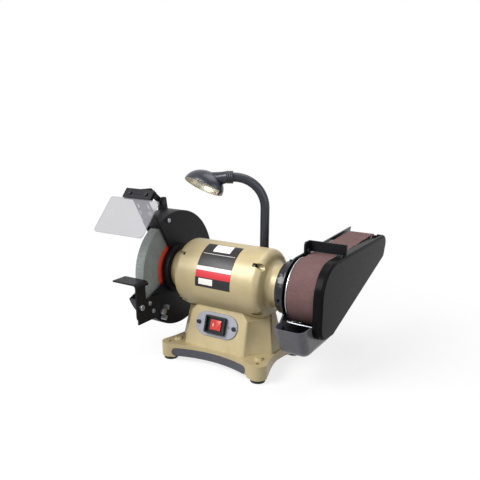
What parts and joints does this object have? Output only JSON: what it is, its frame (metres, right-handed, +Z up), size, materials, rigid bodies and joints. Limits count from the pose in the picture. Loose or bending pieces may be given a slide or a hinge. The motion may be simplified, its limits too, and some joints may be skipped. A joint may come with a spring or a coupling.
{
  "type": "bench grinder",
  "caption": "Bench grinder with a guarded grinding wheel on one arbor, a swinging belt sander on the other and a gooseneck work lamp, on a cast pedestal base.",
  "frame": {"origin": "centre of the four bench bolts, on the bench surface", "axes": "+X along the shaft towards the belt sander, -Y towards the operator, +Z up"},
  "size_m": [0.4155, 0.4076, 0.3573],
  "materials": {
    "painted_iron": "champagne hammered paint on cast iron",
    "painted_motor": "champagne hammered paint on cast aluminium",
    "black_sheet": "satin black powder coat",
    "black_cast": "satin black paint on cast aluminium",
    "bare_aluminium": "turned bare aluminium",
    "black_oxide": "black oxide",
    "steel": "turned bright steel",
    "zinc_steel": "zinc plated",
    "lamination": "varnished steel laminations",
    "copper": "varnished copper wire",
    "rubber": "moulded rubber",
    "black_plastic": "moulded",
    "grey_plate": "satin anodised",
    "trim_grey": "moulded",
    "red_plastic": "moulded",
    "label_film": "printed film",
    "abrasive": "vitrified abrasive grain",
    "blotter": "printed paper",
    "abrasive_cloth": "abrasive coated cloth",
    "clear_sheet": "clear polycarbonate",
    "charcoal_tray": "satin charcoal paint",
    "lamp_black": "satin dark paint",
    "reflector": "polished spun metal",
    "bulb_glass": "frosted glass"
  },
  "bodies": {
    "base": {"base_casting": "painted_iron", "front_trim": "trim_grey", "rubber_feet": "rubber", "bottom_cover": "black_sheet", "base_screws": "zinc_steel", "capacitor": "black_plastic", "cable_gland": "black_plastic", "switch_plate": "grey_plate", "switch_bezel": "black_plastic", "motor_barrel": "painted_motor", "end_bell_left": "painted_motor", "end_bell_right": "painted_motor", "motor_screws": "zinc_steel", "stator_core": "lamination", "stator_windings": "copper", "bearing_outer_races": "steel", "rating_label": "label_film", "guard_drum": "black_sheet", "guard_cover": "black_sheet", "guard_screws": "zinc_steel", "shield_post": "black_sheet", "shield_pin": "zinc_steel", "rest_bracket": "black_sheet", "lamp_nut": "lamp_black", "gooseneck": "lamp_black"},
    "rotor": {"arbor_shaft": "steel", "rotor_core": "lamination", "bearing_inner_races": "steel", "grinding_wheel": "abrasive", "wheel_blotters": "blotter", "wheel_flanges": "steel", "arbor_nuts": "zinc_steel", "drive_drum": "bare_aluminium"},
    "rocker": {"switch_rocker": "red_plastic"},
    "arrestor": {"spark_arrestor": "black_sheet"},
    "shield": {"shield_arm": "black_sheet", "eye_shield": "clear_sheet", "shield_strip": "black_sheet", "strip_screws": "black_oxide"},
    "rest": {"tool_rest": "black_sheet"},
    "wing": {"wing_nut": "black_oxide"},
    "arm": {"arm_collar": "black_cast", "sander_frame": "black_sheet", "sander_spacers": "steel", "sander_cover": "black_sheet", "arm_screws": "zinc_steel", "platen": "steel", "sanding_belt": "abrasive_cloth", "dust_tray": "charcoal_tray", "tray_rod": "zinc_steel", "tension_spring": "steel"},
    "tension": {"tension_slide": "zinc_steel", "idler_axle": "steel"},
    "idler": {"idler_roller": "black_cast"},
    "knob": {"tracking_knob": "black_plastic"},
    "workrest": {"work_rest": "black_sheet"},
    "lamp": {"lamp_hood": "lamp_black", "lamp_reflector": "reflector", "lamp_bulb": "bulb_glass"}
  },
  "joints": [
    {"name": "rotor_spin", "type": "hinge", "parent": "base", "child": "rotor", "pos_m": [0, 0, 0.161], "axis": [1, 0, 0], "continuous": true},
    {"name": "switch_rock", "type": "hinge", "parent": "base", "child": "rocker", "pos_m": [-0.005, -0.04544, 0.07723], "axis": [0, -0.3067, -0.9518], "range_deg": [0, 14]},
    {"name": "arrestor_slide", "type": "slide", "parent": "base", "child": "arrestor", "axis": [0, -0.5, 0.866], "range_m": [-0.003, 0.003]},
    {"name": "shield_tilt", "type": "hinge", "parent": "base", "child": "shield", "pos_m": [-0.1742, 0.007, 0.288], "axis": [1, 0, 0], "range_deg": [-45, 3]},
    {"name": "rest_slide", "type": "slide", "parent": "base", "child": "rest", "axis": [0, 1, 0], "range_m": [-0.008, 0.002]},
    {"name": "wing_turn", "type": "hinge", "parent": "base", "child": "wing", "pos_m": [-0.12, -0.0645, 0.088], "axis": [1, 0, 0], "continuous": true},
    {"name": "arm_tilt", "type": "hinge", "parent": "base", "child": "arm", "pos_m": [0.12, 0, 0.161], "axis": [1, 0, 0], "range_deg": [-11, 78]},
    {"name": "belt_tension", "type": "slide", "parent": "arm", "child": "tension", "axis": [0, -0.9759, -0.2181], "range_m": [0, 0.008], "stiffness_N_per_m": 2000, "springref_m": -0.01, "deforming": ["tension_spring"]},
    {"name": "idler_spin", "type": "hinge", "parent": "tension", "child": "idler", "pos_m": [0.168, 0.2198, 0.21013], "axis": [1, 0, 0], "continuous": true},
    {"name": "knob_turn", "type": "hinge", "parent": "arm", "child": "knob", "pos_m": [0.125, 0.18174, 0.20162], "axis": [1, 0, 0], "range_deg": [-180, 180]},
    {"name": "workrest_slide", "type": "slide", "parent": "arm", "child": "workrest", "axis": [0, 0, 1], "range_m": [0, 0.01]},
    {"name": "lamp_bend", "type": "hinge", "parent": "base", "child": "lamp", "pos_m": [0.01965, 0.0514, 0.32809], "axis": [-0.506, 0.8625, 0], "range_deg": [-20, 20], "deforming": ["gooseneck"]}
  ],
  "couplings": [
    {"joint": "idler_spin", "follows": "rotor_spin", "ratio": 3.5949}
  ]
}
